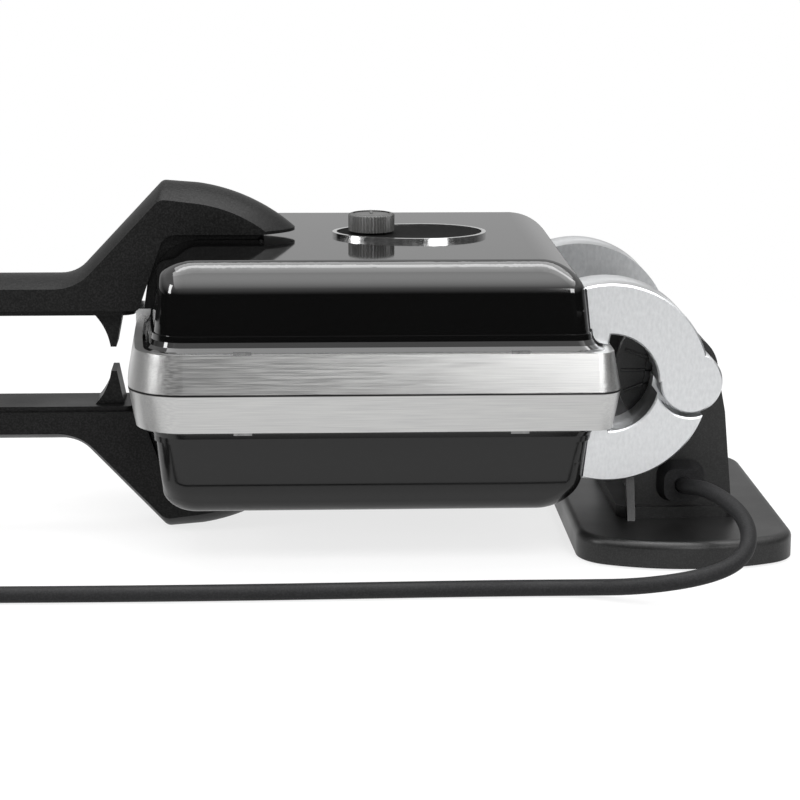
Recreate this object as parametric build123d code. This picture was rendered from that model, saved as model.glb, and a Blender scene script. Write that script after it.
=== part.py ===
from build123d import *
import math
import os

# A countertop waffle sandwich maker: two mirrored cooking halves hang on one hinge pin at the head of
# a pedestal.  The upper half opens as a lid, and the closed cooker turns over the pedestal.
# Millimetres.  +X points to the rear, +Z up, the lead comes out on the -Y side, and the origin is the
# middle of the foot where it stands on the worktop.  The halves are drawn about the pin, the upper one
# as it lies, and the lower one is its mirror image in the parting plane.

# The pin, and the plan of both halves
PIN_Z = 92.0
PIN_R = 4.0
PIN_FIT = 0.05
WASHER_R = 9.0
WASHER_GAP = 0.1
BODY_LENGTH = 245.0
BODY_WIDTH = 205.0
BODY_REAR = -37.5
FRONT_BOW = 5.0
FRONT_CORNER_R = 28.0
REAR_CORNER_R = 12.0
LEAST_CORNER_R = 8.0

# Clearances between pieces
SLIDE = 0.3
PARTING_GAP = 0.4

# Cast frame of each half
FRAME_HEIGHT = 19.3
FRAME_TAPER = 3.5
FRAME_WALL = 6.0
LIP_WIDTH = 8.0
LIP_THICKNESS = 2.5

# Shell of each half, heights above the pin
LEDGE = 4.0
FLARE_TOP = 27.0
FLARE_INSET = 11.5
SHELL_TOP = 63.0
SHELL_TOP_INSET = 16.4
SHELL_WALL = 2.4
END_ROLL_R = 25.0
TOP_EDGE_R = 6.0
REAR_DRAW = 2.5
END_DRAFT = 1.0
COVE_STEPS = 4

# Waffle plate
PLATE_FACE = 0.5
PLATE_BACK = 14.0
PLATE_RIM = 3.0
POCKET_DEPTH = 9.0
POCKET_MARGIN = 9.0
POCKET_R = 10.0
STUD_PITCH = 14.0
STUD_BASE = 9.6
STUD_TIP = 6.4
STUD_HEIGHT = 6.0
STUD_ROWS = 6
STUD_COLUMNS = 5

# Heater and its reflector
ELEMENT_R = 3.3
ELEMENT_INSET = 42.0
ELEMENT_BEND_R = 20.0
ELEMENT_TAIL = 18.0
REFLECTOR_SHEET = 0.8
REFLECTOR_RISE = 8.0
REFLECTOR_INSET = 18.0
REFLECTOR_FLANGE = 5.0

# Hooked hinge arms: a ring about a point ahead of the pin
ARM_CENTRE_X = -41.0
ARM_OUTER_R = 50.0
ARM_INNER_R = 24.5
ARM_MARGIN = 23.7
ARM_THICKNESS = 28.3
ARM_TOE_X = -42.0
ARM_CHAMFER = 0.8
KNUCKLE_R = 15.6
SEAT_R = 17.8
LUG_THICKNESS = 9.5
LUG_GAP = 0.4
PIN_END_WALL = 4.8

# Handles
HANDLE_HALF_WIDTH = 18.9
HANDLE_END_AHEAD = 127.5
HANDLE_END_R = 12.0
BAR_BOTTOM = 26.6
BAR_TOP_SIDE = 38.1
BAR_TOP_CENTRE = 43.4
BEND_R_SIDE = 26.0
BEND_R_CENTRE = 18.0
ELBOW_SLOPE = 46.7
ELBOW_UNDER_BEHIND = 5.2
ELBOW_UNDER_SLOPE = 70.9
ELBOW_UNDER_R = 3.0
TONGUE_BOTTOM = 66.0
TONGUE_UNDER_R = 8.0
TONGUE_EDGE = 1.6
CREST_SIDE_BEHIND = 16.9
CREST_Z_SIDE = 84.4
CREST_R_SIDE = 7.0
TIP_SIDE_BEHIND = 70.8
CREST_CENTRE_BEHIND = 18.1
CREST_Z_CENTRE = 92.0
CREST_R_CENTRE = 4.0
TIP_CENTRE_BEHIND = 85.9
TONGUE_RUN = 18.0
TONGUE_DROP_SIDE = 2.2
TONGUE_DROP_CENTRE = 1.4
TONGUE_SWELL_SIDE = 2.8
TONGUE_SWELL_CENTRE = 4.4
HANDLE_WALL = 3.2
HANDLE_POCKET_TOP = 34.0
BOSS_R = 5.5
BOSSES_BEHIND = (44.5, 64.5)

# Inner handle cover with its tooth, bracket and screws
COVER_HALF_WIDTH = 16.4
COVER_THICKNESS = 2.6
COVER_FRONT_GAP = 5.5
TOOTH_ROOT_AHEAD = 18.5
TOOTH_BACK_AHEAD = 3.5
TOOTH_TIP_AHEAD = 8.5
TOOTH_TIP_Z = 6.4
TOOTH_TIP_LENGTH = 3.0
TOOTH_HALF_WIDTH = 10.6
BRACKET_LENGTH = 8.0
BRACKET_HALF_WIDTH = 12.0
SCREW_R = 2.0
SCREW_HEAD_R = 3.8
SCREW_HEAD_HEIGHT = 2.4
SCREW_GRIP = 5.0

# Flange clips
CLIP_FROM_FRONT = 59.5
CLIP_FROM_REAR = 50.0
CLIP_LENGTH = 9.0
CLIP_THICKNESS = 1.2
CLIP_REACH = 2.6

# Label plate, thermostat and knob
LABEL_FROM_REAR = 93.5
LABEL_FRONT_R = 46.0
LABEL_REAR_R = 34.0
LABEL_HALF_WIDTH = 27.0
LABEL_RIM_WIDTH = 2.2
LABEL_RIM_HEIGHT = 1.9
LABEL_HEIGHT = 1.3
KNOB_FROM_REAR = 119.2
KNOB_R = 11.55
KNOB_HEIGHT = 10.0
KNOB_LIFT = 0.5
KNOB_EDGE_R = 3.0
KNOB_FLUTES = 20
FLUTE_R = 1.3
POINTER_WIDTH = 1.6
POINTER_HEIGHT = 0.5
SHAFT_R = 3.0
SHAFT_DEPTH = 10.0
THERMOSTAT_R = 15.0
THERMOSTAT_HEIGHT = 18.0

# Foot
FOOT_HALF_LENGTH = 55.0
FOOT_HALF_WIDTH = 97.5
FOOT_END_R = 99.0
FOOT_CORNER_R = 22.0
FOOT_TOP = 14.5
FOOT_EDGE_R = 4.0
FOOT_WALL = 3.0
PAD_HEIGHT = 1.0
PAD_R = 9.0
PAD_X = 36.0
PAD_Y = 72.0
CLOSING_PLATE = 2.0
FOOT_BOSS_X = 40.0
FOOT_BOSS_Y = 46.0
FOOT_BOSS_R = 5.0

# Pedestal
WASHER_THICKNESS = 2.4
HEAD_R = 18.7
PEDESTAL_WALL = 3.5
PEDESTAL_REAR_TOP_X = 23.1
PEDESTAL_REAR_TOP_Z = 70.1
PEDESTAL_REAR_X = 28.5
PEDESTAL_BULGE_X = -25.5
PEDESTAL_BULGE_Z = 38.0
PEDESTAL_BULGE_R = 20.0
PEDESTAL_FRONT_X = -20.5
PEDESTAL_ROOF = 32.0
PLINTH_TOP = 20.5
PLINTH_FRONT_X = -31.5
PLINTH_REAR_X = 31.0
PLINTH_MARGIN = 2.5
PLINTH_CORNER_R = 8.0
FIN_X = -27.0
FIN_THICKNESS = 4.0
FIN_REACH = 8.0
FIN_TOP = 37.0
PEDESTAL_SCREW_X = 8.0
PEDESTAL_SCREW_Y = 34.0
PEDESTAL_SCREW_BOSS_R = 5.0
PEDESTAL_SCREW_BOSS_TOP = 36.0

# Strain relief
RELIEF_X = 0.8
RELIEF_Z = 34.0
RELIEF_LENGTH = 24.5
RELIEF_HEIGHT = 22.0
RELIEF_CORNER_R = 8.0
RELIEF_PROUD = 10.0
RELIEF_DRAW = 5.0
RELIEF_INSIDE = 10.0
RELIEF_NECK = 4.0
RELIEF_BORE_DEPTH = 6.0

# Lead: its free stretch is a chain of points chosen by hand, first in a loop and then on the worktop.
# They are counted from the strain relief along X, from the pedestal's near face along Y, and in height.
CORD_R = 4.0
CORD_LIFT = 0.2
CORD_LOOP = [
    (0.0, -4.0, 34.0),
    (0.0, -12.0, 34.0),
    (0.9, -24.0, 36.7),
    (6.5, -38.3, 39.3),
    (14.2, -51.7, 37.1),
    (20.2, -63.9, 32.7),
    (21.8, -76.1, 26.9),
    (18.3, -88.0, 21.3),
    (10.2, -98.2, 17.5),
    (-2.1, -105.0, 14.8),
    (-19.0, -107.0, 12.0),
    (-38.8, -101.4, 8.2),
]
CORD_FLOOR = [
    (-58.8, -88.6),
    (-105.8, -88.2),
    (-165.8, -89.4),
    (-230.8, -90.6),
    (-295.8, -90.4),
    (-350.8, -89.4),
    (-402.8, -89.4),
]

# Put-away coil of the lead
COIL_R = 49.0
COIL_TURNS = 3
COIL_PITCH = 8.7
COIL_LAYER = 8.7
COIL_STEPS_PER_TURN = 4
COIL_LEAD = 8.0
COIL_TAIL = 32.0
TIE_WIDTH = 9.0
TIE_THICKNESS = 1.2

# Plug
PLUG_NECK_R = 6.5
PLUG_NECK_LENGTH = 20.0
PLUG_RIBS = 4
PLUG_RIB_GAP = 1.6
PLUG_BODY_LENGTH = 28.0
PLUG_BODY_WIDTH = 26.0
PLUG_BODY_R = 7.0
PIN_BLADE_LENGTH = 17.0
PIN_BLADE_WIDTH = 6.4
PIN_BLADE_THICKNESS = 1.6
PIN_BLADE_SPACING = 12.7

# Worked out from the sizes above
BODY_FRONT = BODY_REAR - BODY_LENGTH
ARM_OUTSIDE_Y = BODY_WIDTH / 2 - ARM_MARGIN
ARM_INSIDE_Y = ARM_OUTSIDE_Y - ARM_THICKNESS
PEDESTAL_HALF_WIDTH = ARM_INSIDE_Y - WASHER_GAP - WASHER_THICKNESS
HANDLE_END_X = BODY_FRONT - HANDLE_END_AHEAD
ELBOW_UNDER_X = BODY_FRONT + ELBOW_UNDER_BEHIND
CREST_X_SIDE = BODY_FRONT + CREST_SIDE_BEHIND
TIP_X_SIDE = BODY_FRONT + TIP_SIDE_BEHIND
CREST_X_CENTRE = BODY_FRONT + CREST_CENTRE_BEHIND
TIP_X_CENTRE = BODY_FRONT + TIP_CENTRE_BEHIND
TOOTH_ROOT_X = BODY_FRONT - TOOTH_ROOT_AHEAD
TOOTH_BACK_X = BODY_FRONT - TOOTH_BACK_AHEAD
TOOTH_TIP_X = BODY_FRONT - TOOTH_TIP_AHEAD
BOSS_X = [BODY_FRONT + behind for behind in BOSSES_BEHIND]
CLIP_X = (BODY_FRONT + CLIP_FROM_FRONT, BODY_REAR - CLIP_FROM_REAR)
CORD_Z = CORD_R + CORD_LIFT
SHELL_FOOT_INSET = FRAME_TAPER + LEDGE
PLATE_INSET = FRAME_WALL + SLIDE
LIP_BOTTOM = FRAME_HEIGHT - LIP_THICKNESS
LUG_FACE_Y = ARM_INSIDE_Y + LUG_THICKNESS
KNUCKLE_FACE_Y = LUG_FACE_Y + LUG_GAP
PIN_REACH = ARM_OUTSIDE_Y - PIN_END_WALL
COVER_BOTTOM = BAR_BOTTOM - COVER_THICKNESS
COVER_FRONT_X = HANDLE_END_X + COVER_FRONT_GAP
LABEL_X = BODY_REAR - LABEL_FROM_REAR
KNOB_X = BODY_REAR - KNOB_FROM_REAR
KNOB_BOTTOM = SHELL_TOP + LABEL_RIM_HEIGHT + KNOB_LIFT
COIL_X = RELIEF_X + CORD_FLOOR[-1][0] - COIL_LEAD
COIL_Y = CORD_FLOOR[-1][1] - PEDESTAL_HALF_WIDTH + COIL_R


def outline(inset, rear_draw=0):
    """Plan of a half, drawn in by inset: straight sides, a bowed front and four round corners."""
    half = BODY_WIDTH / 2 - inset
    rear = BODY_REAR - inset - rear_draw
    nose = BODY_FRONT + inset
    shoulder = nose + FRONT_BOW
    sides = [
        Line((shoulder, half), (rear, half)),
        Line((rear, half), (rear, -half)),
        Line((rear, -half), (shoulder, -half)),
        ThreePointArc((shoulder, -half), (nose, 0), (shoulder, half)),
    ]
    plan = make_face(sides)
    front = plan.vertices().sort_by(Axis.X)[:2]
    plan = fillet(front, max(FRONT_CORNER_R - inset, LEAST_CORNER_R))
    back = plan.vertices().group_by(Axis.X)[-1]
    return fillet(back, max(REAR_CORNER_R - inset, LEAST_CORNER_R))


def slab(plan, bottom, top):
    """A plan raised straight up from one height to another."""
    return Pos(0, 0, bottom) * extrude(plan, amount=top - bottom)


def prism(profile, near, far):
    """A profile drawn in X and Z, run along Y between two places."""
    return Pos(0, far, 0) * extrude(Plane.XZ * profile, amount=far - near)


def post(radius, x, y, bottom, top):
    """An upright round post."""
    height = top - bottom
    return Pos(x, y, bottom + height / 2) * Cylinder(radius, height)


def cross_bar(radius, near, far):
    """A round bar along the pin's axis."""
    return Pos(0, (near + far) / 2, 0) * Rot(90, 0, 0) * Cylinder(radius, far - near)


def upper(shape):
    """Sets a piece that is drawn about the pin at the pin's height."""
    return Pos(0, 0, PIN_Z) * shape


def lower(shape):
    """The mirror image of a piece in the parting plane."""
    return Pos(0, 0, PIN_Z) * mirror(shape, Plane.XY)


def frame_ring():
    """Cast frame: a drafted rim with a lip that carries the shell and holds the waffle plate."""
    start = PARTING_GAP / 2
    rim = loft([Pos(0, 0, start) * outline(0), Pos(0, 0, FRAME_HEIGHT) * outline(FRAME_TAPER)], ruled=True)
    well = slab(outline(FRAME_WALL), 0, LIP_BOTTOM)
    window = slab(outline(FRAME_WALL + LIP_WIDTH), 0, FRAME_HEIGHT + 1)
    return rim - well - window


def sharp_dome(grow):
    """Body of a shell, grown by a margin: drawn-in sides and rolled ends, its long edges still sharp."""
    inset = FLARE_INSET - grow
    top = SHELL_TOP + grow
    base = Pos(0, 0, FRAME_HEIGHT) * outline(inset, REAR_DRAW)
    roof = Pos(0, 0, top) * outline(SHELL_TOP_INSET - grow, REAR_DRAW)
    sides = loft([base, roof], ruled=True)
    front = BODY_FRONT + inset
    rear = BODY_REAR - inset - REAR_DRAW - END_DRAFT
    ends = make_face(Polyline((front, 0), (front, top), (rear, top), (rear, 0), close=True))
    ends = fillet(ends.vertices().group_by(Axis.Y)[-1], END_ROLL_R + grow)
    return sides & prism(ends, -BODY_WIDTH / 2, BODY_WIDTH / 2)


def cove(grow):
    """Flared foot of a shell, grown by a margin: a hollow curve from the ledge up to the sides."""
    foot_inset = SHELL_FOOT_INSET - grow
    reach = FLARE_INSET - SHELL_FOOT_INSET
    rows = [Pos(0, 0, FRAME_HEIGHT) * outline(foot_inset)]
    for step in range(1, COVE_STEPS + 1):
        turn = math.radians(90 * step / COVE_STEPS)
        height = FRAME_HEIGHT + (FLARE_TOP - FRAME_HEIGHT) * (1 - math.cos(turn))
        drawn = math.sin(turn)
        rows.append(Pos(0, 0, height) * outline(foot_inset + reach * drawn, REAR_DRAW * drawn))
    return loft(rows, ruled=True)


def dome(grow):
    """Whole outer form of a shell, grown by a margin, with its long edges rounded."""
    body = sharp_dome(grow)
    roll_start = SHELL_TOP - END_ROLL_R
    rounded = [edge for edge in body.edges() if edge.bounding_box().min.Z > roll_start - 1]
    return fillet(rounded, TOP_EDGE_R + grow) + cove(grow)


def shell():
    """The drawn shell of a half, open towards the frame, with holes for the handle's screws."""
    hollow = sharp_dome(-SHELL_WALL) + cove(-SHELL_WALL)
    hollow += slab(outline(SHELL_FOOT_INSET + SHELL_WALL), FRAME_HEIGHT - 1, FRAME_HEIGHT)
    body = dome(0) - hollow
    for x in BOSS_X:
        body -= post(SCREW_R + PIN_FIT, x, 0, FLARE_TOP, SHELL_TOP + 1)
    return body


def waffle_plate():
    """Removable cooking plate: a rimmed slab with four pockets full of tapered studs."""
    plan = outline(PLATE_INSET)
    plate = slab(plan, PLATE_FACE, PLATE_BACK)
    plate += slab(plan - outline(PLATE_INSET + PLATE_RIM), PLATE_BACK, LIP_BOTTOM)
    inside_length = BODY_LENGTH - 2 * (PLATE_INSET + POCKET_MARGIN) - FRONT_BOW
    inside_width = BODY_WIDTH - 2 * (PLATE_INSET + POCKET_MARGIN)
    pocket_length = (inside_length - POCKET_MARGIN) / 2
    pocket_width = (inside_width - POCKET_MARGIN) / 2
    centre_x = BODY_REAR - PLATE_INSET - POCKET_MARGIN - inside_length / 2
    pocket = RectangleRounded(pocket_length, pocket_width, POCKET_R)
    foot = Rectangle(STUD_BASE, STUD_BASE)
    tip = Pos(0, 0, -STUD_HEIGHT) * Rectangle(STUD_TIP, STUD_TIP)
    stud = loft([foot, tip], ruled=True)
    pockets = GridLocations(pocket_length + POCKET_MARGIN, pocket_width + POCKET_MARGIN, 2, 2)
    studs = []
    for place in pockets:
        here = Pos(centre_x, 0, 0) * place
        plate -= Pos(0, 0, PLATE_FACE) * here * extrude(pocket, amount=POCKET_DEPTH)
        for spot in GridLocations(STUD_PITCH, STUD_PITCH, STUD_ROWS, STUD_COLUMNS):
            studs.append(Pos(0, 0, PLATE_FACE + POCKET_DEPTH) * here * spot * stud)
    return plate + studs


def element():
    """Tubular heater laid in a loop on the back of the plate, with both tails turned up at the rear."""
    front = BODY_FRONT + ELEMENT_INSET
    rear = BODY_REAR - ELEMENT_INSET
    side = BODY_WIDTH / 2 - ELEMENT_INSET
    tail = ELEMENT_TAIL
    height = PLATE_BACK + ELEMENT_R
    path = FilletPolyline(
        (rear, tail, height),
        (rear, side, height),
        (front, side, height),
        (front, -side, height),
        (rear, -side, height),
        (rear, -tail, height),
        radius=ELEMENT_BEND_R,
    )
    start = Plane(origin=path @ 0, z_dir=path % 0)
    return sweep(start * Circle(ELEMENT_R), path=path)


def reflector():
    """Shallow sheet pan over the heater, standing on the frame by a flange."""
    outer = outline(REFLECTOR_INSET)
    inner = outline(REFLECTOR_INSET + REFLECTOR_SHEET)
    top = FRAME_HEIGHT + REFLECTOR_RISE
    flange = slab(outline(REFLECTOR_INSET - REFLECTOR_FLANGE), FRAME_HEIGHT, FRAME_HEIGHT + REFLECTOR_SHEET)
    pan = slab(outer, FRAME_HEIGHT, top) + flange
    return pan - slab(inner, FRAME_HEIGHT - 1, top - REFLECTOR_SHEET)


def half_disc(radius, x):
    """A disc about a point on the parting plane, kept above that plane."""
    keep = Pos(x, radius) * Rectangle(2 * radius, 2 * radius)
    return (Pos(x, 0) * Circle(radius)) & keep


def hook_profile():
    """Side view of an arm's ring above the parting plane, with the toe that stands on the frame."""
    ring = half_disc(ARM_OUTER_R, ARM_CENTRE_X)
    ring -= Pos(ARM_CENTRE_X, 0) * Circle(ARM_INNER_R)
    cut = Pos(ARM_CENTRE_X - ARM_OUTER_R, ARM_OUTER_R / 2) * Rectangle(2 * ARM_OUTER_R, ARM_OUTER_R)
    ring -= cut
    toe_front = BODY_REAR - FLARE_INSET - END_ROLL_R
    toe = make_face(Polyline(
        (toe_front, FRAME_HEIGHT),
        (ARM_TOE_X, FRAME_HEIGHT),
        (ARM_CENTRE_X, ARM_INNER_R),
        (ARM_CENTRE_X, ARM_OUTER_R),
        (toe_front, ARM_OUTER_R),
        close=True,
    ))
    toe &= Pos(ARM_CENTRE_X, 0) * Circle(ARM_OUTER_R)
    return ring + toe


def finish_arm(arm):
    """Clears an arm from the shell and breaks its outer edges."""
    arm -= dome(SLIDE)
    faces = arm.faces().filter_by(Axis.Y).sort_by(Axis.Y)
    return chamfer(faces[0].outer_wire().edges(), ARM_CHAMFER)


def upper_arm():
    """Near arm of the lid: its outer layer ends in the knuckle round the pin's end."""
    hook = hook_profile()
    seat = Circle(SEAT_R)
    outer = prism(hook + Circle(KNUCKLE_R), -ARM_OUTSIDE_Y, -KNUCKLE_FACE_Y)
    inner = prism(hook - seat, -KNUCKLE_FACE_Y, -ARM_INSIDE_Y)
    arm = outer + inner
    arm -= cross_bar(PIN_R + PIN_FIT, -PIN_REACH - PIN_FIT, -ARM_INSIDE_Y)
    return finish_arm(arm)


def lower_arm():
    """Near arm of the lower half, drawn above the plane: a beak round the knuckle, and an inner lug."""
    hook = hook_profile()
    outer = prism(hook - Circle(SEAT_R), -ARM_OUTSIDE_Y, -LUG_FACE_Y)
    inner = prism(hook + Circle(KNUCKLE_R), -LUG_FACE_Y, -ARM_INSIDE_Y)
    arm = outer + inner
    arm -= cross_bar(PIN_R + PIN_FIT, -ARM_OUTSIDE_Y, -ARM_INSIDE_Y)
    return finish_arm(arm)


def handle_section(y, bar_top, bend_r, crest, crest_r, drop, swell, tip_x):
    """One lengthwise section of a handle: bar, slanted elbow, crest and the tongue over the shell."""
    crest_x, crest_z = crest
    rise = crest_z - bar_top
    foot_x = crest_x - rise / math.tan(math.radians(ELBOW_SLOPE))
    slant = (TONGUE_BOTTOM - BAR_BOTTOM) / math.tan(math.radians(ELBOW_UNDER_SLOPE))
    crown_x = crest_x + TONGUE_RUN
    crown_z = crest_z - drop
    tip_z = TONGUE_BOTTOM + TONGUE_EDGE
    middle_x = (crown_x + tip_x) / 2
    middle_z = (crown_z + tip_z) / 2 + swell
    spine = [
        (HANDLE_END_X, BAR_BOTTOM),
        (ELBOW_UNDER_X, BAR_BOTTOM),
        (ELBOW_UNDER_X + slant, TONGUE_BOTTOM),
        (tip_x, TONGUE_BOTTOM),
        (tip_x, tip_z),
    ]
    edges = [Line(first, second) for first, second in zip(spine, spine[1:])]
    edges.append(ThreePointArc((tip_x, tip_z), (middle_x, middle_z), (crown_x, crown_z)))
    edges.append(Line((crown_x, crown_z), (crest_x, crest_z)))
    edges.append(Line((crest_x, crest_z), (foot_x, bar_top)))
    edges.append(Line((foot_x, bar_top), (HANDLE_END_X, bar_top)))
    edges.append(Line((HANDLE_END_X, bar_top), (HANDLE_END_X, BAR_BOTTOM)))
    face = make_face(edges)
    bends = [
        (ELBOW_UNDER_X, BAR_BOTTOM, ELBOW_UNDER_R),
        (ELBOW_UNDER_X + slant, TONGUE_BOTTOM, TONGUE_UNDER_R),
        (crest_x, crest_z, crest_r),
        (foot_x, bar_top, bend_r),
    ]
    for x, z, radius in bends:
        corner = face.vertices().sort_by_distance((x, z, 0))[0]
        face = fillet(corner, radius)
    return Plane.XZ.offset(-y) * face


def handle():
    """Crowned elbow handle, hollow under the bar, with two bosses down to the shell."""
    side = (BAR_TOP_SIDE, BEND_R_SIDE, (CREST_X_SIDE, CREST_Z_SIDE), CREST_R_SIDE,
            TONGUE_DROP_SIDE, TONGUE_SWELL_SIDE, TIP_X_SIDE)
    centre = (BAR_TOP_CENTRE, BEND_R_CENTRE, (CREST_X_CENTRE, CREST_Z_CENTRE), CREST_R_CENTRE,
              TONGUE_DROP_CENTRE, TONGUE_SWELL_CENTRE, TIP_X_CENTRE)
    sections = [
        handle_section(-HANDLE_HALF_WIDTH, *side),
        handle_section(0, *centre),
        handle_section(HANDLE_HALF_WIDTH, *side),
    ]
    body = loft(sections)
    length = BODY_REAR - HANDLE_END_X
    plan = Pos(HANDLE_END_X + length / 2, 0) * RectangleRounded(length, 2 * HANDLE_HALF_WIDTH, HANDLE_END_R)
    body &= slab(plan, 0, CREST_Z_CENTRE + 1)
    front = HANDLE_END_X + COVER_FRONT_GAP + HANDLE_WALL
    rear = ELBOW_UNDER_X - HANDLE_WALL
    well = Pos((front + rear) / 2, 0) * RectangleRounded(
        rear - front, 2 * (COVER_HALF_WIDTH - HANDLE_WALL), HANDLE_END_R - COVER_FRONT_GAP - 1)
    body -= slab(well, BAR_BOTTOM, HANDLE_POCKET_TOP)
    for x in BOSS_X:
        body += post(BOSS_R, x, 0, SHELL_TOP, TONGUE_BOTTOM + 1)
        body -= post(SCREW_R + PIN_FIT, x, 0, SHELL_TOP, SHELL_TOP + SCREW_GRIP + 1)
    return body


def handle_cover():
    """Inner cover strip of a handle, with the tooth that shields the fingers from the frames."""
    rear = ELBOW_UNDER_X - 2
    length = rear - COVER_FRONT_X
    plan = Pos(COVER_FRONT_X + length / 2, 0) * RectangleRounded(
        length, 2 * COVER_HALF_WIDTH, HANDLE_END_R - COVER_FRONT_GAP)
    strip = slab(plan, COVER_BOTTOM, BAR_BOTTOM)
    tip_front = TOOTH_TIP_X - TOOTH_TIP_LENGTH / 2
    tip_rear = TOOTH_TIP_X + TOOTH_TIP_LENGTH / 2
    height = COVER_BOTTOM - TOOTH_TIP_Z
    flank = (TOOTH_ROOT_X + (tip_front - TOOTH_ROOT_X) * 0.65, COVER_BOTTOM - height * 0.45)
    top = COVER_BOTTOM + COVER_THICKNESS / 2
    tooth = make_face([
        Line((TOOTH_BACK_X, top), (TOOTH_ROOT_X, top)),
        Line((TOOTH_ROOT_X, top), (TOOTH_ROOT_X, COVER_BOTTOM)),
        ThreePointArc((TOOTH_ROOT_X, COVER_BOTTOM), flank, (tip_front, TOOTH_TIP_Z)),
        Line((tip_front, TOOTH_TIP_Z), (tip_rear, TOOTH_TIP_Z)),
        Line((tip_rear, TOOTH_TIP_Z), (TOOTH_BACK_X, COVER_BOTTOM)),
        Line((TOOTH_BACK_X, COVER_BOTTOM), (TOOTH_BACK_X, top)),
    ])
    return strip + prism(tooth, -TOOTH_HALF_WIDTH, TOOTH_HALF_WIDTH)


def handle_bracket():
    """Bracket between the frame's ledge and the handle's heel, clear of the shell."""
    front = BODY_FRONT + FRAME_TAPER
    plan = Pos(front + BRACKET_LENGTH / 2, 0) * Rectangle(BRACKET_LENGTH, 2 * BRACKET_HALF_WIDTH)
    return slab(plan, FRAME_HEIGHT, BAR_BOTTOM) - dome(SLIDE)


def handle_screws():
    """Two screws from inside the shell up into the handle's bosses."""
    under = SHELL_TOP - SHELL_WALL
    screws = []
    for x in BOSS_X:
        head = post(SCREW_HEAD_R, x, 0, under - SCREW_HEAD_HEIGHT, under)
        screws.append(head + post(SCREW_R, x, 0, under, SHELL_TOP + SCREW_GRIP))
    return Compound(children=[screw.solid() for screw in screws])


def flange_clips():
    """Bright spring clips that hook over the frame's ledge on both long sides."""
    clips = []
    half = BODY_WIDTH / 2 - FRAME_TAPER
    top = FRAME_HEIGHT + CLIP_THICKNESS
    for x in CLIP_X:
        for side in (-1, 1):
            y = side * (half - CLIP_REACH / 2)
            clips.append(slab(Pos(x, y) * Rectangle(CLIP_LENGTH, CLIP_REACH), FRAME_HEIGHT, top))
    return Compound(children=[clip.solid() for clip in clips])


def oval(margin):
    """Plan of the label plate, drawn in by a margin: rounder behind, more pointed in front."""
    width = LABEL_HALF_WIDTH - margin
    box = 2 * LABEL_FRONT_R
    front = Ellipse(LABEL_FRONT_R - margin, width) & (Pos(-box / 2, 0) * Rectangle(box, box))
    rear = Ellipse(LABEL_REAR_R - margin, width) & (Pos(box / 2, 0) * Rectangle(box, box))
    return Pos(LABEL_X, 0) * (front + rear)


def label_plate():
    """Plain dark plate inside the rim, with the hole of the thermostat's shaft."""
    plate = slab(oval(LABEL_RIM_WIDTH), SHELL_TOP, SHELL_TOP + LABEL_HEIGHT)
    return plate - post(SHAFT_R + PIN_FIT, KNOB_X, 0, SHELL_TOP - 1, SHELL_TOP + LABEL_HEIGHT + 1)


def label_rim():
    """Raised bright rim round the label plate."""
    return slab(oval(0) - oval(LABEL_RIM_WIDTH), SHELL_TOP, SHELL_TOP + LABEL_RIM_HEIGHT)


def thermostat():
    """Thermostat under the shell's roof, with a bore for the knob's shaft."""
    under = SHELL_TOP - SHELL_WALL
    body = post(THERMOSTAT_R, KNOB_X, 0, under - THERMOSTAT_HEIGHT, under)
    return body - post(SHAFT_R + PIN_FIT, KNOB_X, 0, under - SHAFT_DEPTH, under + 1)


def knob():
    """Fluted knob with a domed edge and a raised pointer."""
    body = post(KNOB_R, KNOB_X, 0, KNOB_BOTTOM, KNOB_BOTTOM + KNOB_HEIGHT)
    rim = body.edges().group_by(Axis.Z)[-1]
    body = fillet(rim, KNOB_EDGE_R)
    for place in PolarLocations(KNOB_R + FLUTE_R / 2, KNOB_FLUTES):
        body -= Pos(KNOB_X, 0, KNOB_BOTTOM) * place * Cylinder(FLUTE_R, 3 * KNOB_HEIGHT)
    body -= post(SHAFT_R, KNOB_X, 0, KNOB_BOTTOM - 1, KNOB_BOTTOM + KNOB_HEIGHT / 2)
    top = KNOB_BOTTOM + KNOB_HEIGHT
    length = KNOB_R - KNOB_EDGE_R
    pointer = Pos(KNOB_X, length / 2) * Rectangle(POINTER_WIDTH, length)
    return body + slab(pointer, top - 1, top + POINTER_HEIGHT)


def knob_shaft():
    """Shaft from the knob down into the thermostat."""
    bottom = SHELL_TOP - SHELL_WALL - SHAFT_DEPTH + PIN_FIT
    return post(SHAFT_R, KNOB_X, 0, bottom, KNOB_BOTTOM + KNOB_HEIGHT / 2)


def foot_plan(margin):
    """Plan of the foot, drawn in by a margin: straight sides between two wide arcs."""
    box = Rectangle(2 * (FOOT_HALF_LENGTH - margin), 2 * FOOT_HALF_WIDTH)
    centre = FOOT_HALF_WIDTH - FOOT_END_R
    near = Pos(0, -centre) * Circle(FOOT_END_R - margin)
    far = Pos(0, centre) * Circle(FOOT_END_R - margin)
    plan = box & near & far
    return fillet(plan.vertices(), FOOT_CORNER_R - margin)


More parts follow.
